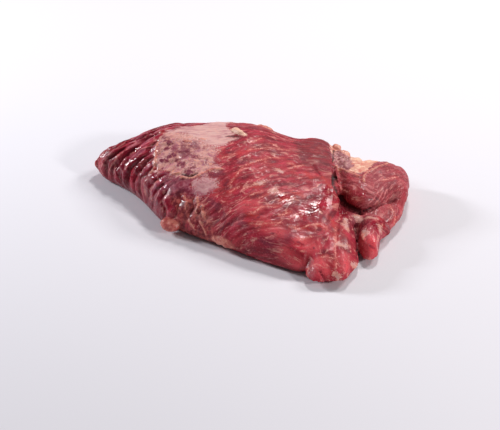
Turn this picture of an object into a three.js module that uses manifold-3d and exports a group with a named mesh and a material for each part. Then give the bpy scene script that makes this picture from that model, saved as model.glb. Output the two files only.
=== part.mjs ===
// A raw beef flank as trimmed by a butcher: one thick, coarse-grained slab of muscle that lies flat.
// It tapers to a blunt tip at the back left, is thickest left of its middle, and spreads to a wide
// right end, where a thin tail folds back over itself and two short muscle ends reach forward.
// Lengths are in millimetres, +X to the right, +Y to the back, +Z up from the face it lies on.

import * as THREE from "three";
import { LoftGeometry } from "three/addons/geometries/LoftGeometry.js";
import { ImprovedNoise } from "three/addons/math/ImprovedNoise.js";
import { mergeVertices } from "three/addons/utils/BufferGeometryUtils.js";
import Module from "manifold-3d";

// Driving sizes
const LEFT_X = -141; // the left tip, where the slab's slices start
const SHOULDER_X = 82; // where the thick slab ends, beside the folded tail
const TIP_ROUND = 16; // how far the left tip takes to round off
const SHOULDER_ROUND = 9; // how far the shoulder takes to round off
const BELLY = 10; // how far the underside tucks in below the widest line, at most
const BELLY_SHARE = 0.2; // the same at a narrow slice, as a share of its width
const END_SHRINK = 0.97; // how far an end slice shrinks towards a point, 1 being all the way
const MIDDLE = new THREE.Vector2(0.1, -0.5); // the middle of the outline, which becomes the origin

// Fineness of the solid
const SLICES = 50;
const TOP_STEPS = 48;
const BELLY_STEPS = 3;
const UNDER_STEPS = 2;
const LEFT_EASE = 1.2; // above 1, slices lie closer together towards the left tip

// The slab by slices across X. front and back are its widest lines, crest the line of its highest
// points, top the height there, and rim the height of the widest line.
const STATIONS = [
  { x: -141, front: 66, back: 82, crest: 73, top: 21, rim: 13 },
  { x: -131, front: 57, back: 90, crest: 70, top: 26, rim: 13 },
  { x: -113, front: 39, back: 99, crest: 66, top: 33, rim: 13 },
  { x: -97, front: 18, back: 106, crest: 64, top: 40, rim: 12 },
  { x: -77, front: -19, back: 114, crest: 64, top: 48, rim: 12 },
  { x: -54, front: -40, back: 118, crest: 62, top: 51, rim: 11 },
  { x: -24, front: -60, back: 119, crest: 58, top: 51, rim: 10 },
  { x: 3, front: -80, back: 119, crest: 52, top: 52, rim: 9 },
  { x: 22, front: -92, back: 111, crest: 42, top: 48, rim: 8 },
  { x: 45, front: -101, back: 104, crest: 38, top: 42, rim: 7 },
  { x: 62, front: -88, back: 104, crest: 32, top: 42, rim: 8 },
  { x: 74, front: -62, back: 97, crest: 22, top: 38, rim: 8 },
  { x: 82, front: -38, back: 86, crest: 20, top: 34, rim: 8 },
];

// Muscle ends and the folded tail are rounded pads: a closed outline round a middle, a top height
// that rises from the rim, and an underside. A low flatness gives a flat top with a round edge.
const PADS = {
  tail: {
    middle: [106, -4],
    outline: [
      [76, -40], [104, -46], [117, -42], [128, -28], [135, -6], [138, 20], [128, 50], [84, 48],
      [70, 4],
    ],
    rim: 8, top: 20, under: 0.4, flatness: 1, around: 30, topRings: 6,
  },
  fold: {
    middle: [124, 26],
    outline: [[112, 0], [125, -9], [136, -2], [141, 22], [141, 44], [129, 57], [108, 46], [106, 16]],
    rim: 14, top: 28, under: 1, flatness: 0.7, around: 26, topRings: 5,
  },
  flap: {
    middle: [104, 22],
    outline: [
      [77, 50], [74, 24], [77, 2], [84, -13], [96, -22], [107, -18], [121, -8], [132, 2],
      [138, 18], [137, 35], [127, 49], [108, 52], [90, 54],
    ],
    rim: 18, top: 35, under: 3, flatness: 0.72, around: 42, topRings: 9,
  },
  bank: {
    middle: [84, 60],
    outline: [[66, 56], [78, 30], [104, 34], [109, 52], [98, 60], [88, 73], [66, 84]],
    rim: 13, top: 28, under: 1, flatness: 0.62, around: 26, topRings: 6,
  },
  tongue: {
    middle: [73, -66],
    outline: [
      [50, -84], [45, -104], [52, -120], [66, -120], [76, -120], [84, -107], [90, -94], [91, -64],
      [91, -36], [88, -14], [62, -40],
    ],
    rim: 6, top: 25, under: 0.6, flatness: 1.4, around: 40, topRings: 8,
  },
  lobe: {
    middle: [103, -50],
    outline: [
      [92, -50], [92, -76], [98, -87], [106, -82], [109, -67], [114, -50], [121, -39], [112, -22],
      [96, -22],
    ],
    rim: 6, top: 20, under: 0.8, flatness: 1.1, around: 28, topRings: 6,
  },
};
const PAD_UNDER_RINGS = 3;
const PAD_TUCK = 0.12; // share of a pad's reach by which its underside tucks in

// Lumps of fat that stand out of the surface: middle, half sizes and turn about Z in degrees
const LUMPS = [
  { at: [-69, -31, 8], half: [9.5, 6.5, 6], turn: -35 },
  { at: [-22, -60, 9], half: [12, 5, 5], turn: -35 },
  { at: [-10, 58, 52], half: [10, 3.6, 4], turn: -52 },
  { at: [11, 92, 36.5], half: [12, 6, 5], turn: -20 },
  { at: [79, 78, 25], half: [6, 4.5, 4], turn: -60 },
  { at: [86, 68, 24], half: [6.5, 4.5, 4.5], turn: -50 },
  { at: [95, 55, 24], half: [7, 5, 4], turn: -20 },
  { at: [108, 49, 25], half: [8, 4, 4], turn: 0 },
];
const LUMP_SIDES = 10;
const LUMP_RINGS = 6;

// Creases cut into the surface along a path in plan: width at the surface and depth below it
const CREASES = {
  besideFlap: {
    path: [
      [80, 52], [77, 39], [74, 20], [76, 0], [81, -13], [88, -21], [97, -26], [108, -21],
      [117, -11], [124, -3],
    ],
    width: 4, depth: 9,
  },
  besideTongue: { path: [[87, -26], [90, -46], [91, -66], [93, -90]], width: 3.4, depth: 8 },
  alongTongue: { path: [[74, -34], [73, -60], [72, -86], [71, -112]], width: 3, depth: 2.4 },
  cut: { path: [[53, 28], [56, 12], [61, -6]], width: 1.8, depth: 3 },
};
const CREASE_STEPS = 12;
const CREASE_END = 0.15; // the least size of a crease's ends, as a share of its middle

// Relief of the muscle bundles, whose lines in plan climb to the right
const GRAIN_SLOPE = 0.2; // slope of the lines far from the middle
const GRAIN_EXTRA = 0.42; // how much more it is in the middle
const GRAIN_SPAN = 50; // how far from the middle half of that is gone
const BUNDLE_WIDTH = 10;
const BUNDLE_DEPTH = 1.3; // at the left tip, each way
const BUNDLES_FROM = 40; // how far left of the origin the bundles begin to stand out
const BUNDLES_TO = 125; // how far left of the origin they are at their deepest
const WAVER_SPAN = 21; // how slowly the bundles waver along and across
const WAVER_DEPTH = 0.3; // how far they waver, in bundle widths
const SWELL_SPAN = 34;
const SWELL_DEPTH = 2.2;
const SWELL_LAYER = 7.7;
const RELIEF_FROM = 4; // height below which the surface stays plain

const WELD_GAP = 1e-3;
const FAR_ABOVE = 1000;

const wasm = await Module();
wasm.setup();
const noise = new ImprovedNoise();

// A closed three.js geometry as a solid.
function solidOf(geometry) {
  return new wasm.Manifold(
    new wasm.Mesh({
      numProp: 3,
      vertProperties: geometry.attributes.position.array,
      triVerts: new Uint32Array(geometry.index.array),
    }),
  );
}

// The geometry with positions alone, and its shared vertices merged.
function welded(geometry) {
  const plain = new THREE.BufferGeometry().copy(geometry);
  plain.deleteAttribute("normal");
  plain.deleteAttribute("uv");
  return mergeVertices(plain, WELD_GAP);
}

// A solid back as a three.js geometry.
function geometryOf(solid) {
  const mesh = solid.getMesh();
  const geometry = new THREE.BufferGeometry();
  const positions = new THREE.BufferAttribute(new Float32Array(mesh.vertProperties), mesh.numProp);
  geometry.setAttribute("position", positions);
  geometry.setIndex(new THREE.BufferAttribute(new Uint32Array(mesh.triVerts), 1));
  geometry.computeVertexNormals();
  return geometry;
}

// Height of the muscle bundles and of the broad unevenness at a point of the surface.
function relief(point) {
  const climb = GRAIN_SLOPE * point.x + GRAIN_EXTRA * GRAIN_SPAN * Math.atan(point.x / GRAIN_SPAN);
  const across = point.y - climb;
  const waver = WAVER_DEPTH * Math.sin((point.x + across) / WAVER_SPAN);
  const bundle = Math.sin(2 * Math.PI * (across / BUNDLE_WIDTH + waver));
  const { x, y, z } = point.clone().divideScalar(SWELL_SPAN);
  const swell = noise.noise(x, y, z + SWELL_LAYER);
  const towardsTip = THREE.MathUtils.smoothstep(-point.x, BUNDLES_FROM, BUNDLES_TO);
  return BUNDLE_DEPTH * towardsTip * bundle + SWELL_DEPTH * swell;
}

// Moves every point that stands clear of the underside along its normal by the relief.
function roughen(geometry) {
  geometry.computeVertexNormals();
  const position = geometry.attributes.position;
  const point = new THREE.Vector3();
  const normal = new THREE.Vector3();
  for (let i = 0; i < position.count; i++) {
    point.fromBufferAttribute(position, i);
    normal.fromBufferAttribute(geometry.attributes.normal, i);
    const share = THREE.MathUtils.smoothstep(point.z, RELIEF_FROM, 3 * RELIEF_FROM);
    point.addScaledVector(normal, share * relief(point));
    position.setXYZ(i, point.x, point.y, point.z);
  }
  return geometry;
}

// The slab's stations as smooth functions of x.
const KEYS = ["front", "back", "crest", "top", "rim"];
const stationTrack = new THREE.CubicInterpolant(
  STATIONS.map((station) => station.x),
  STATIONS.flatMap((station) => KEYS.map((key) => station[key])),
  KEYS.length,
);

// One closed slice of the slab at x, shrunk towards its middle by size.
function slabSlice(x, size) {
  const [front, back, crest, top, rim] = stationTrack.evaluate(x);
  const tuck = Math.min(BELLY, BELLY_SHARE * (back - front));
  const loop = [];
  for (let i = 0; i <= TOP_STEPS; i++) {
    const turn = (Math.PI / 2) * ((2 * i) / TOP_STEPS - 1);
    const reach = Math.sin(turn);
    const y = crest + reach * (reach < 0 ? crest - front : back - crest);
    loop.push([y, rim + (top - rim) * Math.cos(turn)]);
  }
  for (let i = 1; i <= BELLY_STEPS; i++) {
    const turn = ((Math.PI / 2) * i) / BELLY_STEPS;
    loop.push([back - tuck * (1 - Math.cos(turn)), rim * (1 - Math.sin(turn))]);
  }
  for (let i = 1; i < UNDER_STEPS; i++) {
    const share = i / UNDER_STEPS;
    loop.push([THREE.MathUtils.lerp(back - tuck, front + tuck, share), 0]);
  }
  for (let i = BELLY_STEPS; i > 0; i--) {
    const turn = ((Math.PI / 2) * i) / BELLY_STEPS;
    loop.push([front + tuck * (1 - Math.cos(turn)), rim * (1 - Math.sin(turn))]);
  }
  loop.reverse();
  return loop.map(
    ([y, z]) => new THREE.Vector3(x, crest + (y - crest) * size, rim + (z - rim) * size),
  );
}

// The thick slab, with rounded ends.
function slab() {
  const slices = [];
  for (let i = 0; i <= SLICES; i++) {
    const x = THREE.MathUtils.lerp(LEFT_X, SHOULDER_X, (i / SLICES) ** LEFT_EASE);
    const nearEnd = Math.min((x - LEFT_X) / TIP_ROUND, (SHOULDER_X - x) / SHOULDER_ROUND, 1);
    slices.push(slabSlice(x, Math.sqrt(1 - END_SHRINK * (1 - nearEnd) ** 2)));
  }
  return solidOf(roughen(welded(new LoftGeometry(slices, { capStart: true, capEnd: true }))));
}

// A rounded pad, shaped from a sphere: each meridian goes to one point of the outline.
function pad({ middle, outline, rim, top, under, flatness, around, topRings }) {
  const closed = new THREE.CatmullRomCurve3(
    outline.map(([x, y]) => new THREE.Vector3(x, y, 0)),
    true,
  );
  const edge = closed.getSpacedPoints(around);
  const rings = topRings + PAD_UNDER_RINGS;
  const sphere = new THREE.SphereGeometry(1, around, rings);
  const { position, uv } = sphere.attributes;
  for (let i = 0; i < position.count; i++) {
    const ring = Math.round((1 - uv.getY(i)) * rings);
    const side = (i % (around + 1)) % around;
    const above = ring <= topRings;
    const turn = (Math.PI / 2) * (above ? ring / topRings : (rings - ring) / PAD_UNDER_RINGS);
    const reach = above ? Math.sin(turn) : (1 - PAD_TUCK * Math.cos(turn)) * Math.sin(turn);
    const x = THREE.MathUtils.lerp(middle[0], edge[side].x, reach);
    const y = THREE.MathUtils.lerp(middle[1], edge[side].y, reach);
    const lift = ((above ? top : under) - rim) * Math.cos(turn) ** flatness;
    position.setXYZ(i, x, y, rim + lift);
  }
  return solidOf(roughen(welded(sphere)));
}

// A lump of fat, sunk about half way into the surface.
function lump({ at, half, turn }) {
  const sphere = new THREE.SphereGeometry(1, LUMP_SIDES, LUMP_RINGS);
  sphere.scale(...half);
  sphere.rotateZ(THREE.MathUtils.degToRad(turn));
  sphere.translate(...at);
  return solidOf(welded(sphere));
}

// The height of the surface at a place, seen from above.
const fromAbove = new THREE.Raycaster();
const DOWN = new THREE.Vector3(0, 0, -1);
function heightAt(surface, x, y) {
  fromAbove.set(new THREE.Vector3(x, y, FAR_ABOVE), DOWN);
  const [hit] = fromAbove.intersectObject(surface);
  return hit ? hit.point.z : 0;
}

// The blade that cuts a crease: a wedge that follows the surface and thins out at both ends.
function blade({ path, width, depth }, surface) {
  const line = new THREE.CatmullRomCurve3(path.map(([x, y]) => new THREE.Vector3(x, y, 0)));
  const sections = [];
  for (let i = 0; i <= CREASE_STEPS; i++) {
    const at = line.getPointAt(i / CREASE_STEPS);
    const along = line.getTangentAt(i / CREASE_STEPS);
    const size = Math.max(CREASE_END, Math.sqrt(Math.sin((Math.PI * i) / CREASE_STEPS)));
    const side = new THREE.Vector3(-along.y, along.x, 0).multiplyScalar((width / 2) * size);
    const height = heightAt(surface, at.x, at.y);
    const level = at.clone().setZ(height);
    sections.push([
      level.clone().add(side),
      at.clone().setZ(height + depth * size),
      level.clone().sub(side),
      at.clone().setZ(height - depth * size),
    ]);
  }
  return solidOf(welded(new LoftGeometry(sections, { capStart: true, capEnd: true })));
}

// The whole piece of meat, its origin under its middle.
function flank() {
  const pieces = [...Object.values(PADS).map(pad), ...LUMPS.map(lump)];
  const whole = pieces.reduce((sum, piece) => sum.add(piece), slab());
  const surface = new THREE.Mesh(geometryOf(whole));
  const blades = Object.values(CREASES).map((crease) => blade(crease, surface));
  const creased = blades.reduce((rest, cutter) => rest.subtract(cutter), whole);
  return geometryOf(creased).translate(-MIDDLE.x, -MIDDLE.y, 0);
}

const RAW_BEEF = new THREE.MeshStandardMaterial({ color: 0x9a3a45, roughness: 0.35, metalness: 0 });

const group = new THREE.Group();
const mesh = new THREE.Mesh(flank(), RAW_BEEF);
mesh.name = "beef_flank";
group.add(mesh);

export default group;
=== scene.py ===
"""Looks of a raw beef flank: muscle bundles, marbling, silvery skin, fat and a moist gloss.

The visible piece starts as an even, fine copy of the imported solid. Each of its points then gets
fibre coordinates, which follow the grain over the whole surface, a relief along its normal, and
the distances to named outlines and strokes, which the material reads. Lengths are in millimetres
until the mesh is written, in the plan frame that the solid's own sizes are given in: it is MIDDLE
away from the origin. Strokes that were read from the picture are in its pixels.
"""

import itertools
import math

import bpy
import numpy as np
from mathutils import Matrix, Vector
from mathutils.bvhtree import BVHTree


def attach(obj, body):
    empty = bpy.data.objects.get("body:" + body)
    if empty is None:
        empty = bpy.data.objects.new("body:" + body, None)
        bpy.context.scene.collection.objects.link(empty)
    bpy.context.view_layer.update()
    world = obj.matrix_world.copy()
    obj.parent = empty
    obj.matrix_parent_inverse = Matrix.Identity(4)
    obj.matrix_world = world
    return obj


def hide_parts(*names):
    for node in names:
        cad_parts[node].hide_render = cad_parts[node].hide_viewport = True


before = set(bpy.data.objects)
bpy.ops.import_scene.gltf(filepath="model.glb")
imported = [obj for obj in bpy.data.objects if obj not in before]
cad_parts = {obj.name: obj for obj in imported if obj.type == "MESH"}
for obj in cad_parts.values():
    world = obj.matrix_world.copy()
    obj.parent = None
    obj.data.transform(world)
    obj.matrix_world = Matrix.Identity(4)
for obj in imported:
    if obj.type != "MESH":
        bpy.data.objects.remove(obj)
bpy.context.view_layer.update()
SOLID = BVHTree.FromObject(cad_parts["beef_flank"], bpy.context.evaluated_depsgraph_get())

MM = 0.001
MIDDLE = np.array([0.1, -0.5, 0.0])

# The camera: 30 degrees above the horizon, and its lens for 1670 pixels to the picture's 500
CAMERA_PLACE = (-0.0001, -1.275675, 0.7368)
CAMERA_TILT = math.radians(60)
FOCAL_PIXELS = 1670
PICTURE_WIDTH = 500
PICTURE_HEIGHT = 430

# Fineness of the visible mesh, and the height up to which a point counts as its underside
VOXEL = 1.05
UNDERSIDE = 0.3
UNDERSIDE_KEEP = 0.06

# How the solid's small facets are smoothed, and how the creases along the soft borders are filled
SMOOTH_ROUNDS = 11
SMOOTH_SHARES = (0.63, -0.6)
FILL_ROUNDS = 45
FILL_SHARE = 0.5
FILL_REACH = (11, 3)

# Lines of the grain on the slab, which climb to the right in plan
GRAIN_SLOPE = 0.3
GRAIN_EXTRA = 0.35
GRAIN_SPAN = 55
CREST = 55
SLAB_TOP = 50
FACE_PULL = (0.1, 1.4)
FACE_PULL_SPAN = (-70, 10)
BEND_FROM = 70
FRONT_FROM = -40
FRONT_TURN = 0.014
FRONT_CENTRE = -30
SOFT = 20

# Parts of the meat whose grain runs its own way, as outlines in plan, and their headings
FOLD_CENTRE = (108, 42)
FLAP = [
    (76, 110), (79, 55), (77, 39), (74, 20), (76, 0), (81, -13), (88, -21), (97, -26), (108, -21),
    (117, -11), (124, -3), (134, 2), (160, 0), (160, 110),
]
TAIL = [
    (81, -13), (88, -21), (97, -26), (108, -21), (117, -11), (124, -3), (134, 2), (160, 0),
    (160, -50), (122, -40), (110, -30), (98, -31), (90, -30),
]
LOBE = [(89, -28), (98, -31), (110, -30), (122, -40), (140, -60), (104, -100), (93, -94), (91, -66)]
TONGUE = [
    (82, -16), (78, -24), (73, -45), (62, -73), (46, -93), (36, -130), (93, -130), (93, -94),
    (91, -66), (90, -46), (89, -28), (88, -21),
]
TAIL_HEADING = 76
TONGUE_HEADING = -83
LOBE_HEADING = -108
SEAM = 1.6

# Bundles, strands and threads of muscle: how long and wide, and how deep
BUNDLE = (40, 10)
BUNDLE_DEPTH = 0.4
STRAND = (18, 4)
STRAND_DEPTH = 0.15
THREAD = (9, 1.7)
THREAD_DEPTH = 0.06

# Ridges of the left end: how wide and deep, where they fade in, and above what height they are whole
RIDGE_WIDTH = 15
RIDGE_DEPTH = 3.8
RIDGES_FROM = 25
RIDGES_TO = 95
RIDGE_HEIGHTS = (-5, 32)

# How far the fibres wander sideways, and over what length
WANDER = ((3.2, 17), (1.1, 6))

# Thin skins that lie over the muscle, as outlines in plan
SHEET = [
    (-76, 71), (-68, 66), (-54, 75), (-44, 78), (-34, 84), (-40, 100), (-30, 112), (-12, 110),
    (-20, 90), (-22, 74), (-17, 62), (-14, 54), (-19, 49), (-10, 46), (-17, 43), (-22, 37),
    (-34, 34), (-42, 42), (-48, 50), (-57, 57), (-66, 59), (-74, 62),
]
LACE = [
    (-83, 50), (-76, 62), (-66, 61), (-57, 59), (-48, 52), (-42, 44), (-34, 36), (-26, 31),
    (-30, 18), (-32, 8), (-24, 2), (-33, -1), (-39, -5), (-50, -7), (-61, -2), (-68, -1),
    (-74, 6), (-81, 13), (-87, 24), (-84, 37),
]
VEIL = [
    (-74, 6), (-68, -1), (-61, -2), (-50, -7), (-41, -5), (-47, -12), (-51, -17), (-46, -24),
    (-49, -26), (-58, -23), (-64, -22), (-70, -18), (-74, -11), (-76, -2),
]
SILVER = [
    (-49, -12), (-39, -10), (-29, -12), (-28, -21), (-31, -25), (-38, -25), (-44, -28),
    (-48, -23), (-51, -17),
]
TAN = [
    (-69, -19), (-60, -20), (-50, -26), (-39, -35), (-32, -48), (-31, -56), (-38, -52), (-50, -44),
    (-60, -35), (-67, -27),
]

# Other patches of their own colour, as outlines in plan
BANK = [
    (75, 36), (77, 27), (83, 27), (88, 20), (95, 14), (102, 15), (105, 24), (110, 34), (116, 44),
    (116, 62), (105, 78), (80, 92), (73, 88), (72, 60),
]
DUSKY = [(72, 40), (74, 54), (80, 77), (90, 70), (93, 52), (92, 30), (88, 22), (82, 26), (76, 32)]
DRY = [(42, 70), (62, 84), (79, 80), (74, 38), (75, 29), (59, 4), (48, 15), (42, 28)]

# Fat lumps of the solid: middle, half sizes, turn about Z in degrees and tone, from orange to cream
FAT_LUMPS = (
    ((-69, -31, 8), (9.5, 6.5, 6), -35, 0.1),
    ((-22, -60, 9), (12, 5, 5), -35, 0.2),
    ((-10, 58, 52), (10, 3.6, 4), -52, 0.8),
    ((11, 92, 36.5), (12, 6, 5), -20, 0.3),
    ((79, 78, 25), (6, 4.5, 4), -60, 0.45),
    ((86, 68, 24), (6.5, 4.5, 4.5), -50, 0.45),
    ((95, 55, 24), (7, 5, 4), -20, 0.8),
    ((108, 49, 25), (8, 4, 4), 0, 0.7),
)

# Strokes read from the picture: thin pale lines along the ridges of the left end, the flap and its rim,
# partly pale tissue and partly painted highlight along wet crests
RIDGE_LINES_AND_HIGHLIGHTS = (
    ((97, 155), (97, 165), (103, 176)),
    ((127, 141), (113, 150), (105, 160), (101, 168), (104, 176)),
    ((140, 142), (126, 150), (118, 157), (112, 164), (109, 172)),
    ((156, 140), (140, 147), (130, 153), (124, 160), (118, 168)),
    ((158, 144), (150, 146), (140, 150), (133, 158), (127, 168)),
    ((159, 172), (156, 182), (151, 192)),
    ((163, 186), (160, 191), (156, 200)),
    ((368, 204), (374, 199), (378, 192)),
    ((373, 205), (379, 200), (383, 191)),
    ((379, 203), (384, 197), (387, 189)),
    ((372, 161), (382, 162), (391, 165)),
)
# The same: pale streaks of fat between the strands of the slab, the flap and the tongue
PALE_STREAKS = (
    ((222, 158), (240, 152)),
    ((213, 153), (222, 148)),
    ((248, 150), (268, 147), (290, 150)),
    ((250, 142), (262, 138)),
    ((270, 143), (282, 149)),
    ((246, 165), (258, 160), (270, 157), (283, 158)),
    ((230, 184), (243, 166)),
    ((244, 188), (258, 182)),
    ((230, 192), (240, 185)),
    ((250, 195), (262, 190)),
    ((258, 198), (270, 193), (280, 192)),
    ((279, 200), (294, 197)),
    ((252, 213), (262, 207), (280, 206)),
    ((250, 223), (262, 224), (280, 222)),
    ((280, 215), (290, 212)),
    ((290, 226), (300, 228), (310, 225), (322, 224), (326, 227)),
    ((300, 240), (312, 236)),
    ((290, 163), (297, 167), (303, 165)),
    ((336, 225), (335, 245), (336, 268)),
    ((316, 258), (324, 256), (333, 258)),
    ((340, 188), (350, 193)),
    ((352, 199), (362, 201)),
    ((382, 180), (396, 177)),
    ((390, 205), (396, 217), (393, 230)),
    ((96, 156), (95, 164), (98, 172)),
    ((180, 241), (200, 243), (215, 246)),
    ((160, 131), (170, 138), (178, 146)),
    ((177, 140), (177, 150), (178, 158)),
    ((150, 172), (165, 165), (172, 158)),
    ((197, 158), (198, 166), (199, 172)),
    ((181, 159), (187, 156), (190, 163)),
)
# The same: ropes and edges of fat
FAT_CORDS = (
    ((158, 143), (156, 152), (155, 165), (150, 172)),
    ((172, 174), (179, 173)),
    ((185, 141), (191, 142)),
    ((201, 139), (205, 140)),
    ((184, 196), (187, 202), (186, 208)),
    ((197, 198), (198, 205), (196, 212)),
    ((203, 206), (202, 212), (205, 218)),
    ((189, 221), (195, 229)),
    ((200, 222), (206, 234)),
    ((181, 178), (195, 177), (205, 172), (212, 169), (222, 169)),
    ((338, 169), (345, 170), (352, 173), (358, 176)),
    ((364, 181), (364, 176), (368, 171), (380, 166), (388, 163)),
    ((362, 235), (363, 239)),
)
# The same: wider patches of fat and pale skin
FAT_PATCHES = (
    ((346, 219), (347, 229)),
    ((339, 244), (345, 246)),
    ((335, 274), (339, 277)),
    ((353, 265), (357, 267)),
    ((369, 217), (376, 218)),
    ((380, 226), (381, 231)),
    ((257, 183), (262, 182)),
    ((278, 170), (280, 171)),
    ((271, 191), (275, 190)),
    ((364, 231), (365, 233)),
    ((356, 216), (361, 221)),
)
# The same: brighter muscle at the ends of the slab, the lobe and the tongue, and low on the slab
BRIGHT_SPOTS = (
    ((98, 158), (99, 170)),
    ((364, 238), (366, 250)),
    ((373, 238), (373, 252)),
    ((262, 222), (280, 232)),
    ((300, 243), (316, 248)),
    ((244, 204), (256, 206)),
    ((284, 253), (298, 264)),
    ((318, 263), (322, 271)),
    ((345, 257), (346, 268)),
)
# The same: clear spots in the mottled web, where purple muscle shows through
WINDOWS = (
    ((183, 145), (184, 156)),
    ((195, 143), (197, 148)),
    ((174, 147), (176, 152)),
    ((187, 150), (189, 154)),
)
# The same: warm red spots and dusky ones
RED_SPOTS = (
    ((292, 191), (303, 196)),
    ((281, 215), (289, 212)),
    ((296, 228), (308, 230)),
    ((255, 187), (262, 184)),
    ((318, 226), (326, 229)),
    ((331, 218), (336, 228)),
    ((322, 176), (330, 186)),
    ((250, 214), (258, 216)),
    ((306, 173), (312, 178)),
)
DARK_SPOTS = (
    ((285, 235), (292, 235)),
    ((308, 236), (315, 235)),
    ((304, 158), (310, 154)),
    ((312, 147), (319, 143)),
    ((262, 240), (270, 244)),
    ((240, 222), (246, 226)),
    ((270, 228), (274, 232)),
    ((208, 198), (217, 206)),
    ((238, 161), (243, 163)),
    ((212, 176), (220, 172)),
)
# The same: valleys, cut into the relief and painted dark as shade, and the slits, whose painted shade is
# darker still
VALLEYS = (
    ((155, 133), (137, 140), (121, 149), (111, 158), (106, 168), (107, 176)),
    ((193, 199), (193, 206), (191, 214)),
    ((197, 222), (202, 229), (204, 235)),
    ((320, 272), (323, 277), (325, 281)),
    ((371, 208), (381, 205), (390, 202), (399, 199)),
    ((311, 163), (316, 169), (321, 175)),
    ((367, 222), (361, 228), (357, 235)),
    ((273, 184), (274, 181), (279, 181), (280, 183)),
)
SLITS = (
    ((182, 174), (190, 176), (197, 173)),
    ((226, 137), (232, 136), (238, 136)),
    ((355, 231), (357, 245), (357, 259)),
    ((334, 150), (333, 168), (334, 183)),
    ((361, 212), (371, 208)),
)
# The same: soft borders of the tongue and the lobe, where the solid's creases are filled
SOFT_BORDER = (
    ((334, 216), (325, 234), (312, 248), (306, 262)),
    ((364, 220), (370, 217), (377, 222), (381, 232), (382, 240)),
    ((354, 211), (357, 217), (360, 223)),
)
# The same: the broad gap between the slab, the tail and the flap, cut deep and painted dark as shade
GAP = (
    ((334, 172), (334, 184), (339, 195), (345, 204), (353, 209), (361, 212)),
)
# The same: the wettest spots, which shine most
WET_SPOTS = (
    ((302, 214), (315, 208), (328, 202)),
    ((297, 250), (298, 252)),
    ((328, 190), (331, 195)),
    ((284, 198), (286, 198)),
    ((117, 172), (126, 156), (134, 152)),
    ((131, 171), (138, 162), (143, 157)),
    ((151, 192), (156, 182), (159, 172)),
    ((156, 200), (160, 191), (163, 186)),
    ((168, 207), (174, 201), (180, 196)),
    ((184, 195), (189, 189)),
    ((368, 246), (374, 245)),
    ((378, 224), (384, 221)),
    ((343, 180), (344, 181)),
    ((357, 191), (359, 192)),
    ((339, 205), (341, 212)),
)
# Pixels between the places where a stroke is laid on the solid
STROKE_STEP = 3


def smoothstep(low, high, value):
    share = np.clip((value - low) / (high - low), 0, 1)
    return share * share * (3 - 2 * share)


def soft_ramp(value, width):
    """0 for low values and the value itself for high ones, with a round bend of that width."""
    return width * np.logaddexp(0, value / width)


def cell_random(cells, seed):
    """A number from 0 to 1 for each row of whole numbers."""
    mixed = np.full(len(cells), seed * 7919 + 17, np.uint64)
    for column in np.asarray(cells, np.int64).astype(np.uint64).T:
        mixed = (mixed ^ column) * np.uint64(0x9E3779B97F4A7C15)
        mixed ^= mixed >> np.uint64(29)
    return (mixed >> np.uint64(11)).astype(float) / 2**53


def noise(points, seed):
    """Smooth gradient noise, about -1 to 1, at each row."""
    base = np.floor(points)
    offset = points - base
    fade = offset**3 * (offset * (offset * 6 - 15) + 10)
    total = np.zeros(len(points))
    width = points.shape[1]
    for corner in itertools.product((0, 1), repeat=width):
        weight = np.prod(np.where(corner, fade, 1 - fade), axis=1)
        cell = base + corner
        for axis in range(width):
            slope = 2 * cell_random(cell, seed * 10 + axis) - 1
            total += weight * slope * (offset[:, axis] - corner[axis])
    return 1.7 * total


def cell_borders(points, seed):
    """For scattered flat cells: how far inside its cell each point lies."""
    base = np.floor(points)
    nearest = np.full(len(points), np.inf)
    second = np.full(len(points), np.inf)
    for step in itertools.product((-1, 0, 1), repeat=2):
        cell = base + step
        heart = cell + 0.5 + 0.8 * np.column_stack(
            [cell_random(cell, seed) - 0.5, cell_random(cell, seed + 1) - 0.5]
        )
        distance = np.linalg.norm(points - heart, axis=1)
        second = np.minimum(second, np.maximum(nearest, distance))
        nearest = np.minimum(nearest, distance)
    return second - nearest


def line_distance(points, line):
    """Distance of each point to a line of straight pieces, in plan or in space."""
    nearest = np.full(len(points), np.inf)
    for start, end in zip(line, line[1:]):
        side = end - start
        share = np.clip((points - start) @ side / (side @ side), 0, 1)
        gap = points - start - share[:, None] * side
        nearest = np.minimum(nearest, np.einsum("ij,ij->i", gap, gap))
    return np.sqrt(nearest)


def outline_distance(plan, outline):
    """Distance of each point to a closed outline, negative inside it."""
    corners = np.array([*outline, outline[0]], float)
    inside = np.zeros(len(plan), bool)
    for start, end in zip(corners, corners[1:]):
        crosses = (start[1] > plan[:, 1]) != (end[1] > plan[:, 1])
        rise = end[1] - start[1] or 1.0
        reach = start[0] + (plan[:, 1] - start[1]) / rise * (end[0] - start[0])
        inside ^= crosses & (plan[:, 0] < reach)
    return line_distance(plan, corners) * np.where(inside, -1, 1)


def average_of_neighbours(values, edges, degree):
    """For each point of the mesh, the mean of the values at the points that edges join to it."""
    first, second = edges.T
    columns = [
        np.bincount(first, column[second], len(values)) + np.bincount(second, column[first], len(values))
        for column in values.T
    ]
    return np.column_stack(columns) / degree[:, None]


def evaluated_mesh(piece):
    graph = bpy.context.evaluated_depsgraph_get()
    return bpy.data.meshes.new_from_object(piece.evaluated_get(graph))


def vectors_of(mesh, name):
    """The place or the normal of each of the mesh's points, as the mesh holds them."""
    flat = np.empty(len(mesh.vertices) * 3, np.float32)
    mesh.vertices.foreach_get(name, flat)
    return flat.reshape(-1, 3).astype(float)


def points_of(mesh):
    """The mesh's points in plan millimetres."""
    return vectors_of(mesh, "co") / MM + MIDDLE


def move_points(mesh, points):
    """Moves the mesh's points to these places in plan millimetres."""
    mesh.vertices.foreach_set("co", ((points - MIDDLE) * MM).astype(np.float32).ravel())
    mesh.update()


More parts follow.
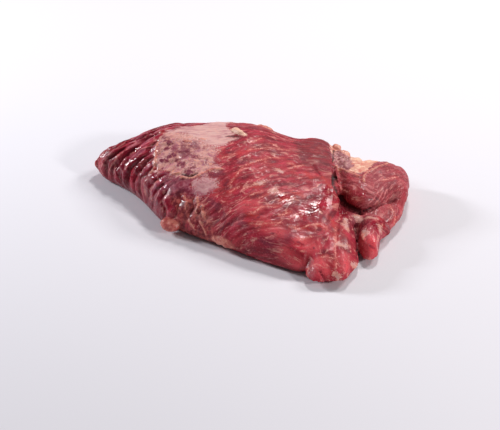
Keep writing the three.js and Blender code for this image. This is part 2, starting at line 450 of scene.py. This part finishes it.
def fine_copy(node):
    """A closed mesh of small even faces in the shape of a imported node, coarser underneath."""
    copy = bpy.data.objects.new("fine_copy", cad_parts[node].data.copy())
    bpy.context.scene.collection.objects.link(copy)
    even = copy.modifiers.new("even", "REMESH")
    even.mode = "VOXEL"
    even.voxel_size = VOXEL * MM
    copy.data = evaluated_mesh(copy)
    copy.modifiers.clear()
    low = copy.vertex_groups.new(name="underside")
    heights = points_of(copy.data)[:, 2]
    low.add(np.nonzero(heights < UNDERSIDE)[0].tolist(), 1.0, "REPLACE")
    coarser = copy.modifiers.new("coarser", "DECIMATE")
    coarser.ratio = 1 - (1 - UNDERSIDE_KEEP) * float((heights < UNDERSIDE).mean())
    coarser.vertex_group = low.name
    mesh = evaluated_mesh(copy)
    bpy.data.objects.remove(copy)
    return mesh


def smoothed(points, edges, degree):
    """The points with the small facets of the solid smoothed away, at about the same size."""
    flat = points[:, 2] < UNDERSIDE
    for _ in range(SMOOTH_ROUNDS):
        for share in SMOOTH_SHARES:
            step = average_of_neighbours(points, edges, degree) - points
            points = points + share * step
            points[flat, 2] = 0.0
    return points


def with_filled_border(points, edges, degree):
    """The points with the creases along the soft borders filled."""
    near = smoothstep(*FILL_REACH, stroke_distance(points, SOFT_BORDER))[:, None]
    for _ in range(FILL_ROUNDS):
        points = points + FILL_SHARE * near * (average_of_neighbours(points, edges, degree) - points)
    return points


def slab_fibres(points):
    """How far along the grain of the slab and across it each point lies."""
    x, y, z = points.T
    climb = GRAIN_SLOPE * x + GRAIN_EXTRA * GRAIN_SPAN * np.arctan(x / GRAIN_SPAN)
    to_right = smoothstep(*FACE_PULL_SPAN, x)
    pull = FACE_PULL[0] + (FACE_PULL[1] - FACE_PULL[0]) * to_right
    down_the_side = (z - SLAB_TOP) * np.tanh((CREST - y) / SOFT)
    bend = soft_ramp(x + 0.8 * y - BEND_FROM, SOFT)
    turn = FRONT_TURN * soft_ramp(FRONT_FROM - y, SOFT) * (x - FRONT_CENTRE)
    across = y - climb + pull * down_the_side + bend + turn
    along = x + 0.35 * y + 0.5 * z
    return np.column_stack([along, across])


def straight_fibres(points, heading):
    """The same for a grain that keeps one heading in plan, in degrees from +X."""
    x, y, z = points.T
    turn = math.radians(heading)
    along = math.cos(turn) * x + math.sin(turn) * y - z
    across = math.cos(turn) * y - math.sin(turn) * x + 0.5 * z
    return np.column_stack([along, across])


def round_fibres(points):
    """The same for the grain of the flap, which runs round its fold."""
    x, y, z = points.T
    away = np.array([x - FOLD_CENTRE[0], y - FOLD_CENTRE[1]])
    reach = np.hypot(*away) * (1 + 0.25 * noise(points / 24, 51)) - 0.7 * z
    return np.column_stack([40 * np.arctan2(*away), reach])


PARTS = (
    (FLAP, round_fibres),
    (TAIL, lambda points: straight_fibres(points, TAIL_HEADING)),
    (LOBE, lambda points: straight_fibres(points, LOBE_HEADING)),
    (TONGUE, lambda points: straight_fibres(points, TONGUE_HEADING)),
)


def fibre_coordinates(points):
    """How far along the grain and across it each point lies, and how far from a seam."""
    fibres = slab_fibres(points)
    seam = np.full(len(points), np.inf)
    for outline, coordinates in PARTS:
        distance = outline_distance(points[:, :2], outline)
        inside = distance < 0
        fibres[inside] = coordinates(points[inside])
        seam = np.minimum(seam, np.abs(distance))
    for seed, (reach, span) in enumerate(WANDER, start=11):
        fibres[:, 1] += reach * noise(points / span, seed)
    return fibres, seam


def muscle(points, fibres):
    """Height of the muscle, how deep in a valley each point lies, which the material paints as shade, and
    how near to the left end.
    """
    to_tip = smoothstep(RIDGES_FROM, RIDGES_TO, -points[:, 0])

    def rounded(size, seed, width):
        return smoothstep(0, width, cell_borders(fibres / size, seed))

    bundle = rounded(BUNDLE, 21, 0.6)
    strand = rounded(STRAND, 31, 0.7)
    thread = rounded(THREAD, 35, 0.7)
    height = BUNDLE_DEPTH * (bundle - 0.8) * (1 - 0.6 * to_tip)
    height += STRAND_DEPTH * (strand - 0.7) + THREAD_DEPTH * (thread - 0.7)
    sway = 0.8 * noise(points / 34, 22) + 0.25 * noise(points / 12, 23)
    wave = np.abs(np.sin(math.pi * (fibres[:, 1] / RIDGE_WIDTH + sway)))
    depth = RIDGE_DEPTH * (0.85 + 0.7 * noise(points / 18, 24)) * smoothstep(*RIDGE_HEIGHTS, points[:, 2])
    height += depth * to_tip * (np.sqrt(wave) - 0.75)
    valley = np.maximum((1 - bundle) * (1 - 0.7 * to_tip), to_tip * smoothstep(0.75, 0.15, wave))
    return height, valley, to_tip


def seen_at(x, y):
    """The point of the solid that the picture shows at a pixel, or None."""
    ahead = Vector((0, math.sin(CAMERA_TILT), -math.cos(CAMERA_TILT)))
    up = Vector((0, math.cos(CAMERA_TILT), math.sin(CAMERA_TILT)))
    ray = FOCAL_PIXELS * ahead + (PICTURE_HEIGHT / 2 - y) * up
    ray.x = x - PICTURE_WIDTH / 2
    point = SOLID.ray_cast(Vector(CAMERA_PLACE), ray)[0]
    return None if point is None else np.array(point) / MM + MIDDLE


def stroke_distance(points, strokes):
    """Distance of each point to the nearest of the strokes, once they are laid on the solid."""
    nearest = np.full(len(points), np.inf)
    for stroke in strokes:
        line = []
        for start, end in zip(stroke, stroke[1:]):
            steps = math.ceil(math.dist(start, end) / STROKE_STEP)
            for share in np.linspace(0, 1, steps, endpoint=False):
                x, y = Vector(start).lerp(Vector(end), share)
                line.append(seen_at(x, y))
        line.append(seen_at(*stroke[-1]))
        found = [point for point in line if point is not None]
        nearest = np.minimum(nearest, line_distance(points, found))
    return nearest


def lump_distance(points):
    """Distance of each point to the nearest fat lump, negative inside it, and that lump's tone."""
    nearest = np.full(len(points), np.inf)
    tone = np.zeros(len(points))
    for middle, half, degrees, shade in FAT_LUMPS:
        turn = math.radians(degrees)
        x, y, z = (points - middle).T
        turned = np.column_stack(
            [math.cos(turn) * x + math.sin(turn) * y, math.cos(turn) * y - math.sin(turn) * x, z]
        )
        distance = (np.linalg.norm(turned / half, axis=1) - 1) * min(half)
        tone = np.where(distance < nearest, shade, tone)
        nearest = np.minimum(nearest, distance)
    return nearest, tone


def skin_distances(points):
    """Distances to the outlines in plan, with ragged borders."""
    plan = points[:, :2]
    return {
        "sheet": outline_distance(plan, SHEET) + 1.2 * noise(points / 4, 71),
        "lace": outline_distance(plan, LACE) + 4 * noise(points / 7, 72),
        "veil": outline_distance(plan, VEIL) + 4 * noise(points / 8, 73),
        "silver": outline_distance(plan, SILVER) + 2.5 * noise(points / 5, 74),
        "tan": outline_distance(plan, TAN) + 3 * noise(points / 6, 77),
        "dusky": outline_distance(plan, DUSKY) + 3 * noise(points / 6, 78),
        "flap": np.minimum(outline_distance(plan, FLAP), outline_distance(plan, TAIL)),
        "bank": outline_distance(plan, BANK) + 2 * noise(points / 6, 75),
        "dry": outline_distance(plan, DRY) + 6 * noise(points / 12, 76),
    }


def stroke_distances(points):
    """Distances to the strokes that were read from the picture."""
    return {
        "ridge": stroke_distance(points, RIDGE_LINES_AND_HIGHLIGHTS),
        "streak": stroke_distance(points, PALE_STREAKS),
        "cord": stroke_distance(points, FAT_CORDS),
        "patch": stroke_distance(points, FAT_PATCHES),
        "bright": stroke_distance(points, BRIGHT_SPOTS),
        "red": stroke_distance(points, RED_SPOTS),
        "dark": stroke_distance(points, DARK_SPOTS),
        "window": stroke_distance(points, WINDOWS),
        "hollow": stroke_distance(points, VALLEYS),
        "slit": stroke_distance(points, SLITS),
        "gap": stroke_distance(points, GAP),
        "wet": stroke_distance(points, WET_SPOTS),
    }


# How far each covering hides the muscle's relief
COVERS = {"sheet": 0.85, "lace": 0.5, "veil": 0.5, "silver": 0.7, "bank": 0.8, "lump": 1.0}

# How high each mark stands, or how deep it is cut where negative, and the distances it fades between
STEPS = {
    "sheet": (0.4, 0.5, -0.5),
    "silver": (0.3, 0.8, -0.8),
    "ridge": (0.3, 1.2, 0.2),
    "hollow": (-0.8, 2.5, 0),
    "slit": (-1.2, 1.8, 0.2),
    "gap": (-2.2, 4, 0.5),
}

# Crumbly fat: how high, the distances it fades between, the span of its noise and the noise's seed
CRUMBS = {"bank": (0.9, 1, -2, 3.5, 43), "lump": (1.1, 1, -1, 4.5, 45)}

# Broad swells: how high, and the span of their noise
SWELLS = ((0.6, 13), (0.2, 5))

# Heights between which the relief fades in, so that the underside stays flat
CONTACT = (1, 5)


def relief(points, muscle_height, seam, far):
    """Height of everything on the smooth surface: muscle, swells, skins, fat, cords and slits."""
    bare = 1 - np.max([share * smoothstep(1, -1, far[name]) for name, share in COVERS.items()], axis=0)
    height = muscle_height * bare * smoothstep(0, SEAM, seam)
    for seed, (rise, span) in enumerate(SWELLS, start=41):
        height += rise * noise(points / span, seed)
    wrinkles = noise(points / (9, 3.5, 3.5), 61) + 0.6 * noise(points / 2.8, 62)
    height += 0.45 * smoothstep(1, -3, far["lace"]) * wrinkles
    height += 0.9 * smoothstep(2.0, 0.3, far["cord"] + 0.7 * noise(points / 3, 44))
    for name, (rise, start, end) in STEPS.items():
        height += rise * smoothstep(start, end, far[name])
    for name, (rise, start, end, span, seed) in CRUMBS.items():
        height += rise * smoothstep(start, end, far[name]) * noise(points / span, seed)
    return height * smoothstep(*CONTACT, points[:, 2])


def write_attribute(mesh, name, values):
    mesh.attributes.new(name, "FLOAT", "POINT").data.foreach_set("value", values.astype(np.float32))


def meat_piece():
    mesh = fine_copy("beef_flank")
    ends = np.empty(len(mesh.edges) * 2, np.int32)
    mesh.edges.foreach_get("vertices", ends)
    edges = ends.reshape(-1, 2)
    points = points_of(mesh)
    degree = np.bincount(ends, minlength=len(points)).astype(float)
    points = smoothed(points, edges, degree)
    points = with_filled_border(points, edges, degree)
    move_points(mesh, points)
    normals = vectors_of(mesh, "normal")
    fibres, seam = fibre_coordinates(points)
    muscle_height, valley, to_tip = muscle(points, fibres)
    lump, tone = lump_distance(points)
    far = skin_distances(points) | stroke_distances(points) | {"lump": lump}
    height = relief(points, muscle_height, seam, far)
    move_points(mesh, points + height[:, None] * normals)
    marks = {"along": fibres[:, 0], "across": fibres[:, 1], "valley": valley, "tip": to_tip, "tone": tone}
    for name, values in (far | marks).items():
        write_attribute(mesh, name, values)
    mesh.shade_smooth()
    piece = bpy.data.objects.new("raw_meat", mesh)
    bpy.context.scene.collection.objects.link(piece)
    return piece


def linear(red, green, blue):
    """A colour as seen, 0 to 255, as the shader's own numbers."""
    seen = np.array([red, green, blue]) / 255
    return tuple(np.where(seen <= 0.04045, seen / 12.92, ((seen + 0.055) / 1.055) ** 2.4).tolist()) + (1.0,)


# Colours of the muscle, of the skins over it and of the fat
# DEEP is the muscle's darkest tone, and also stands as painted shade in the valleys, the hollows and low on
# the left
DEEP = linear(112, 8, 30)
LEAN = linear(162, 22, 46)
ROSE = linear(194, 50, 72)
PALE = linear(230, 138, 138)
MARBLE = linear(243, 168, 155)
ORANGE = linear(206, 56, 46)
PURPLE = linear(100, 18, 46)
BRIGHT = linear(244, 92, 100)
# Painted highlight: a lilac sheen for the crests of the left end's ridges
CREST_SHEEN = linear(206, 120, 144)
DULL = linear(158, 64, 70)
BROWN = linear(104, 38, 42)
# Painted shade: the near-black of the slits and the gap
SLIT_SHADE = linear(52, 2, 10)
FAT = linear(220, 152, 132)
CREAM = linear(246, 206, 180)
WARM_FAT = linear(206, 108, 98)
WHITE_SKIN = linear(220, 172, 165)
GREY_SKIN = linear(174, 106, 120)
DUSK = linear(122, 50, 68)
WEB = linear(218, 160, 150)
SILVERY = linear(208, 158, 160)


class Painter:
    """Makes the shader nodes of one material. Each method gives back the socket of its answer."""

    def __init__(self, name):
        self.material = bpy.data.materials.new(name)
        self.material.use_nodes = True
        self.tree = self.material.node_tree
        self.tree.nodes.clear()

    def node(self, kind, inputs, **settings):
        made = self.tree.nodes.new("ShaderNode" + kind)
        for name, value in settings.items():
            setattr(made, name, value)
        for key, value in inputs.items():
            if isinstance(value, bpy.types.NodeSocket):
                self.tree.links.new(value, made.inputs[key])
            else:
                made.inputs[key].default_value = value
        return made

    def mark(self, name):
        """A number that the mesh carries at each point."""
        return self.node("Attribute", {}, attribute_name=name).outputs["Fac"]

    def fibre(self):
        """The point's place along the grain and across it, in millimetres."""
        return self.node("CombineXYZ", {0: self.mark("along"), 1: self.mark("across")}).outputs[0]

    def place(self):
        """The point's own place in millimetres."""
        spot = self.node("TexCoord", {}).outputs["Object"]
        return self.stretched(spot, (1000, 1000, 1000))

    def coordinate(self, axis):
        """The point's place along one axis, in millimetres."""
        return self.node("SeparateXYZ", {0: self.place()}).outputs[axis]

    def stretched(self, vector, scale):
        return self.node("VectorMath", {0: vector, 1: scale}, operation="MULTIPLY").outputs[0]

    def noise(self, vector, scale, detail=2.0, rough=0.5):
        made = self.node(
            "TexNoise",
            {"Vector": self.stretched(vector, scale), "Scale": 1.0, "Detail": detail, "Roughness": rough},
        )
        return made.outputs["Fac"]

    def warped(self, vector, scale, reach):
        """The vector moved about by noise."""
        shift = self.node(
            "TexNoise", {"Vector": self.stretched(vector, scale), "Scale": 1.0, "Detail": 2.0}
        ).outputs["Color"]
        return self.node("VectorMath", {0: shift, 1: reach, 2: vector}, operation="MULTIPLY_ADD").outputs[0]

    def borders(self, vector, scale):
        """Distance to the border of scattered cells."""
        made = self.node(
            "TexVoronoi", {"Vector": self.stretched(vector, scale), "Scale": 1.0}, feature="DISTANCE_TO_EDGE"
        )
        return made.outputs["Distance"]

    def ranged(self, value, low, high, to_low=0.0, to_high=1.0):
        made = self.node(
            "MapRange",
            {0: value, 1: low, 2: high, 3: to_low, 4: to_high},
            interpolation_type="SMOOTHSTEP",
        )
        return made.outputs[0]

    def maths(self, operation, first, second):
        return self.node("Math", {0: first, 1: second}, operation=operation).outputs[0]

    def times(self, first, second):
        return self.maths("MULTIPLY", first, second)

    def plus(self, first, second):
        return self.maths("ADD", first, second)

    def mixed(self, share, first, second):
        return self.node("Mix", {0: share, 6: first, 7: second}, data_type="RGBA").outputs[2]

    def threads(self, vector, scale, width):
        """Thin wandering lines, 1 on a line."""
        level = self.noise(vector, (scale, scale, scale), 3, 0.5)
        return self.ranged(self.maths("ABSOLUTE", self.plus(level, -0.5), 0), width, 0.0)

    def near(self, name, reach, ragged=0.0, soft=0.6):
        """1 within that distance of a named stroke or outline, with a ragged border."""
        frayed = self.ranged(self.noise(self.place(), (0.7, 0.7, 0.7), 3), 0.2, 0.8, -ragged, ragged)
        return self.ranged(self.plus(self.mark(name), frayed), reach + soft, reach - soft)


def muscle_colour(paint, fibre):
    """Lean muscle: soft dark, red and rosy streaks, with marbling, flecks and purple spots."""
    place = paint.place()
    streaks = paint.noise(fibre, (0.05, 0.11, 1), 4, 0.55)
    colour = paint.mixed(paint.ranged(streaks, 0.36, 0.54), DEEP, LEAN)
    colour = paint.mixed(paint.ranged(streaks, 0.5, 0.68), colour, ROSE)
    tint = paint.noise(place, (0.06, 0.06, 0.06), 3)
    colour = paint.mixed(paint.times(paint.ranged(tint, 0.48, 0.6), 0.22), colour, ORANGE)
    colour = paint.mixed(paint.times(paint.near("red", 1.5, 2.5, 3), 0.8), colour, ORANGE)
    colour = paint.mixed(paint.times(paint.near("dark", 2.5, 2, 2), 0.6), colour, DUSK)
    broad = paint.noise(place, (0.03, 0.03, 0.03), 3)
    colour = paint.mixed(paint.times(paint.ranged(broad, 0.5, 0.62), 0.45), colour, PURPLE)
    fine = paint.noise(fibre, (0.15, 0.8, 1), 3, 0.6)
    colour = paint.mixed(paint.times(paint.ranged(fine, 0.45, 0.7), 0.18), colour, ROSE)
    colour = paint.mixed(paint.times(paint.near("flap", 0, 0, 3), 0.4), colour, DULL)
    colour = paint.mixed(paint.times(paint.near("bright", 6, 3, 5), 0.62), colour, BRIGHT)
    lines = paint.times(paint.ranged(fine, 0.5, 0.68), paint.near("flap", 2, 0, 4))
    colour = paint.mixed(paint.times(lines, 0.5), colour, PALE)
    spots = paint.noise(fibre, (0.1, 0.17, 1), 1)
    colour = paint.mixed(paint.times(paint.ranged(spots, 0.36, 0.28), 0.6), colour, PURPLE)
    blush = paint.noise(paint.warped(fibre, (0.1, 0.2, 1), (6, 3, 0)), (0.07, 0.2, 1), 4, 0.6)
    colour = paint.mixed(paint.times(paint.ranged(blush, 0.54, 0.72), 0.6), colour, PALE)
    bent = paint.warped(fibre, (0.1, 0.22, 1), (12, 9, 0))
    veins = paint.ranged(paint.borders(bent, (0.05, 0.14, 1)), 0.09, 0.0)
    veins = paint.times(veins, paint.ranged(paint.mark("flap"), -2, 2, 0.45, 1))
    some = paint.ranged(paint.noise(place, (0.1, 0.1, 0.1), 3), 0.5, 0.62)
    colour = paint.mixed(paint.times(paint.times(veins, some), 0.65), colour, MARBLE)
    bits = paint.noise(paint.warped(fibre, (0.2, 0.4, 1), (5, 3, 0)), (0.12, 0.36, 1), 3, 0.6)
    colour = paint.mixed(paint.times(paint.ranged(bits, 0.6, 0.74), 0.7), colour, MARBLE)
    speckle = paint.noise(place, (0.7, 0.7, 0.7), 3, 0.7)
    colour = paint.mixed(paint.times(paint.ranged(speckle, 0.5, 0.35), 0.4), colour, DEEP)
    return paint.mixed(paint.times(paint.ranged(speckle, 0.55, 0.72), 0.4), colour, PALE)


def with_strokes(paint, colour):
    """The pale streaks and ridge lines, which fade in and out along their way; the ridge lines are partly
    pale tissue and partly painted highlight.
    """
    broken = paint.ranged(paint.noise(paint.place(), (0.35, 0.35, 0.35), 3, 0.6), 0.35, 0.6, 0.1, 1)
    halo = paint.times(paint.near("streak", 2, 1.5, 2), 0.3)
    colour = paint.mixed(halo, colour, ORANGE)
    colour = paint.mixed(paint.times(paint.near("streak", 0.4, 1.6, 0.9), broken), colour, MARBLE)
    # Pale ridge lines, partly painted highlight along the wet crests
    return paint.mixed(paint.times(paint.near("ridge", 0.5, 0.5), broken), colour, PALE)


def with_skins(paint, colour):
    """The thin skins: a veil, a silvery and a tan patch, a mottled web and a pale sheet."""
    place = paint.place()
    cloudy = paint.noise(place, (0.1, 0.1, 0.1), 4, 0.6)
    wrinkles = paint.noise(place, (0.06, 0.5, 0.5), 4, 0.6)
    crumbs = paint.noise(place, (0.25, 0.25, 0.25), 3, 0.6)
    veil = paint.mixed(paint.ranged(crumbs, 0.4, 0.65), DUSK, GREY_SKIN)
    colour = paint.mixed(paint.times(paint.near("veil", 0, 2.5, 3), 0.7), colour, veil)
    silver = paint.mixed(paint.ranged(cloudy, 0.36, 0.52), GREY_SKIN, SILVERY)
    silver = paint.mixed(paint.times(paint.ranged(crumbs, 0.5, 0.36), 0.5), silver, GREY_SKIN)
    colour = paint.mixed(paint.times(paint.near("silver", 0, 3, 2.2), 0.8), colour, silver)
    tan = paint.mixed(paint.ranged(crumbs, 0.4, 0.62), BROWN, WARM_FAT)
    colour = paint.mixed(paint.times(paint.near("tan", 0, 2.5, 3), 0.65), colour, tan)
    lacy = paint.near("lace", 0, 3, 2.5)
    films = paint.noise(place, (0.13, 0.13, 0.13), 4, 0.6)
    web = paint.mixed(paint.ranged(cloudy, 0.4, 0.56), DUSK, GREY_SKIN)
    web = paint.mixed(paint.times(paint.ranged(films, 0.42, 0.6), 0.85), web, WEB)
    web = paint.mixed(paint.times(paint.near("sheet", 5, 4, 6), 0.65), web, WEB)
    web = paint.mixed(paint.times(paint.threads(place, 0.1, 0.03), 0.85), web, WHITE_SKIN)
    web = paint.mixed(paint.times(paint.threads(place, 0.17, 0.022), 0.8), web, FAT)
    cracks = paint.times(paint.threads(place, 0.22, 0.02), paint.ranged(cloudy, 0.62, 0.45))
    web = paint.mixed(paint.times(cracks, 0.5), web, PURPLE)
    web = paint.mixed(paint.ranged(paint.noise(place, (0.2, 0.2, 0.2), 2), 0.66, 0.72), web, FAT)
    web = paint.mixed(paint.times(paint.near("window", 3, 2.5, 2.5), 0.8), web, DUSK)
    colour = paint.mixed(paint.times(lacy, 0.92), colour, web)
    pale = paint.mixed(paint.ranged(wrinkles, 0.3, 0.6), GREY_SKIN, WHITE_SKIN)
    pale = paint.mixed(paint.times(paint.ranged(cloudy, 0.45, 0.6), 0.6), pale, WHITE_SKIN)
    return paint.mixed(paint.times(paint.near("sheet", 0, 2, 2.2), 0.95), colour, pale)


def with_fat(paint, colour):
    """Fat: the crumbly bank by the fold and its dusky film, the lumps, the patches and the cords."""
    crumbs = paint.noise(paint.place(), (0.2, 0.2, 0.2), 5, 0.65)
    bank = paint.mixed(paint.ranged(crumbs, 0.32, 0.5), WARM_FAT, FAT)
    bank = paint.mixed(paint.ranged(crumbs, 0.48, 0.65), bank, CREAM)
    colour = paint.mixed(paint.near("bank", 0, 1.2), colour, bank)
    lump = paint.mixed(paint.mark("tone"), WARM_FAT, CREAM)
    raw = paint.times(paint.ranged(crumbs, 0.56, 0.42), paint.ranged(paint.mark("tone"), 0, 1, 0.6, 0.1))
    lump = paint.mixed(raw, lump, LEAN)
    dusky = paint.mixed(paint.ranged(crumbs, 0.4, 0.6), DUSK, GREY_SKIN)
    dusky = paint.mixed(paint.times(paint.threads(paint.place(), 0.14, 0.03), 0.85), dusky, WHITE_SKIN)
    colour = paint.mixed(paint.times(paint.near("dusky", 0, 2, 2), 0.85), colour, dusky)
    colour = paint.mixed(paint.near("lump", 0.4, 0.5), colour, lump)
    cord = paint.mixed(paint.ranged(crumbs, 0.35, 0.6), WARM_FAT, FAT)
    patch = paint.mixed(paint.ranged(crumbs, 0.35, 0.6), FAT, WHITE_SKIN)
    colour = paint.mixed(paint.times(paint.near("patch", 2.6, 2.2, 1), 0.75), colour, patch)
    return paint.mixed(paint.times(paint.near("cord", 1.0, 1.2), 0.85), colour, cord)


# Gloss: roughness of the driest and the wettest muscle, and how much wet spots and the left end take off
DRY_ROUGHNESS = 0.54
WET_ROUGHNESS = 0.13
WET_GLOSS = 0.4
TIP_GLOSS = 0.24

# Fine unevenness in millimetres, and how deep the light goes into the meat
BUMP_DEPTH = 0.6
BUMP_STRENGTH = 0.45
LIGHT_DEPTH = 3
LIGHT_SPREAD = (1.0, 0.35, 0.25)
LIGHT_SHARE = 0.12


def meat_material():
    paint = Painter("raw_meat")
    fibre = paint.fibre()
    crumbs = paint.noise(paint.place(), (0.35, 0.35, 0.35), 3, 0.6)
    colour = muscle_colour(paint, fibre)
    colour = paint.mixed(paint.times(paint.near("dry", 0, 2, 4), 0.5), colour, BROWN)
    colour = paint.mixed(paint.times(paint.mark("tip"), 0.25), colour, PURPLE)
    height = paint.coordinate("Z")
    # Painted highlight: a lilac sheen on the upper crests of the left end's ridges, away from the valleys
    crest_sheen = paint.times(paint.ranged(paint.mark("valley"), 0.2, 0), paint.ranged(height, 12, 36))
    colour = paint.mixed(paint.times(paint.times(paint.mark("tip"), crest_sheen), 0.3), colour, CREST_SHEEN)
    # Painted shade in the valleys between bundles and ridges, strongest at the left end and weaker low down
    valley = paint.times(paint.mark("valley"), paint.ranged(paint.mark("tip"), 0, 1, 0.18, 0.75))
    valley = paint.times(valley, paint.ranged(height, 2, 26, 0.3, 1))
    colour = paint.mixed(valley, colour, DEEP)
    # Painted shade low down on the left, darker towards the bottom
    low_shade = paint.times(paint.ranged(height, 16, 3), paint.ranged(paint.coordinate("X"), 30, -30))
    colour = paint.mixed(paint.times(low_shade, 0.5), colour, DEEP)
    colour = with_strokes(paint, colour)
    colour = with_skins(paint, colour)
    colour = with_fat(paint, colour)
    # Painted shade in the hollows, and darker painted shade in the slits and the broad gap
    colour = paint.mixed(paint.times(paint.near("hollow", 0.8, 0.8, 0.8), 0.75), colour, DEEP)
    colour = paint.mixed(paint.times(paint.near("slit", 0.9, 0.4), 0.85), colour, SLIT_SHADE)
    colour = paint.mixed(paint.times(paint.near("gap", 1.9, 0.6, 1.2), 0.9), colour, SLIT_SHADE)
    wet = paint.ranged(paint.plus(paint.mark("wet"), paint.times(crumbs, 8)), 13.5, 8)
    gloss = paint.plus(paint.times(wet, WET_GLOSS), paint.times(paint.mark("tip"), TIP_GLOSS))
    gloss = paint.times(gloss, paint.ranged(paint.mark("gap"), 1, 4))
    rough = paint.maths("MAXIMUM", paint.maths("SUBTRACT", DRY_ROUGHNESS, gloss), WET_ROUGHNESS)
    grain = paint.noise(fibre, (0.2, 1.2, 1), 3, 0.6)
    pits = paint.noise(paint.place(), (0.4, 0.4, 0.4), 2, 0.5)
    uneven = paint.plus(paint.times(grain, 0.4), paint.times(pits, 0.8))
    bump = paint.node(
        "Bump", {"Strength": BUMP_STRENGTH, "Distance": BUMP_DEPTH * MM, "Height": uneven}
    ).outputs[0]
    skin = paint.node(
        "BsdfPrincipled",
        {
            "Base Color": colour,
            "Roughness": rough,
            "Normal": bump,
            "Specular IOR Level": 0.25,
            "Coat Weight": 0.12,
            "Coat Roughness": 0.1,
            "Coat Normal": bump,
            "Subsurface Weight": LIGHT_SHARE,
            "Subsurface Radius": LIGHT_SPREAD,
            "Subsurface Scale": LIGHT_DEPTH * MM,
        },
    )
    paint.node("OutputMaterial", {"Surface": skin.outputs[0]})
    return paint.material


# The floor, and the light from all round
FLOOR_REACH = 4.0
FLOOR_COLOUR = linear(226, 223, 230)
WORLD_COLOUR = (0.97, 0.97, 1.0, 1.0)
WORLD_STRENGTH = 0.14

# Lamps: name, the direction they stand in, distance and size in metres, power in watts, and colour
LAMPS = (
    ("overhead", (0.17, 0.57, 0.8), 1.3, 0.18, 7, (1.0, 0.99, 0.97)),
    ("right", (0.75, 0.45, 0.7), 1.5, 0.4, 9, (1.0, 0.98, 0.96)),
    ("front", (0.8, -0.6, 0.5), 1.5, 0.15, 9, (1.0, 0.98, 0.96)),
    ("left", (-0.85, 0.36, 0.4), 1.3, 0.22, 12, (0.93, 0.96, 1.0)),
)


def floor_piece():
    mesh = bpy.data.meshes.new("floor")
    far, near = FLOOR_REACH, -FLOOR_REACH
    mesh.from_pydata([(near, near, 0), (far, near, 0), (far, far, 0), (near, far, 0)], [], [(0, 1, 2, 3)])
    paint = Painter("floor")
    plain = paint.node("BsdfPrincipled", {"Base Color": FLOOR_COLOUR, "Roughness": 0.7})
    paint.node("OutputMaterial", {"Surface": plain.outputs[0]})
    mesh.materials.append(paint.material)
    piece = bpy.data.objects.new("floor", mesh)
    bpy.context.scene.collection.objects.link(piece)


def area_light(name, direction, distance, size, power, colour):
    """A square soft light that faces the piece from that direction."""
    lamp = bpy.data.lights.new(name, "AREA")
    lamp.size = size
    lamp.energy = power
    lamp.color = colour
    piece = bpy.data.objects.new(name, lamp)
    piece.location = Vector(direction).normalized() * distance
    piece.rotation_euler = (-piece.location).to_track_quat("-Z", "Y").to_euler()
    bpy.context.scene.collection.objects.link(piece)


def lights():
    for lamp in LAMPS:
        area_light(*lamp)
    world = bpy.data.worlds.new("studio")
    world.use_nodes = True
    background = world.node_tree.nodes["Background"]
    background.inputs["Color"].default_value = WORLD_COLOUR
    background.inputs["Strength"].default_value = WORLD_STRENGTH
    bpy.context.scene.world = world
    bpy.context.scene.view_settings.view_transform = "Standard"


def camera():
    lens = bpy.data.cameras.new("camera")
    lens.lens = lens.sensor_width * FOCAL_PIXELS / PICTURE_WIDTH
    piece = bpy.data.objects.new("camera", lens)
    piece.location = CAMERA_PLACE
    piece.rotation_euler = (CAMERA_TILT, 0, 0)
    bpy.context.scene.collection.objects.link(piece)
    bpy.context.scene.camera = piece


meat = meat_piece()
meat.data.materials.clear()
meat.data.materials.append(meat_material())
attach(meat, "root")
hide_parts("beef_flank")
floor_piece()
lights()
camera()
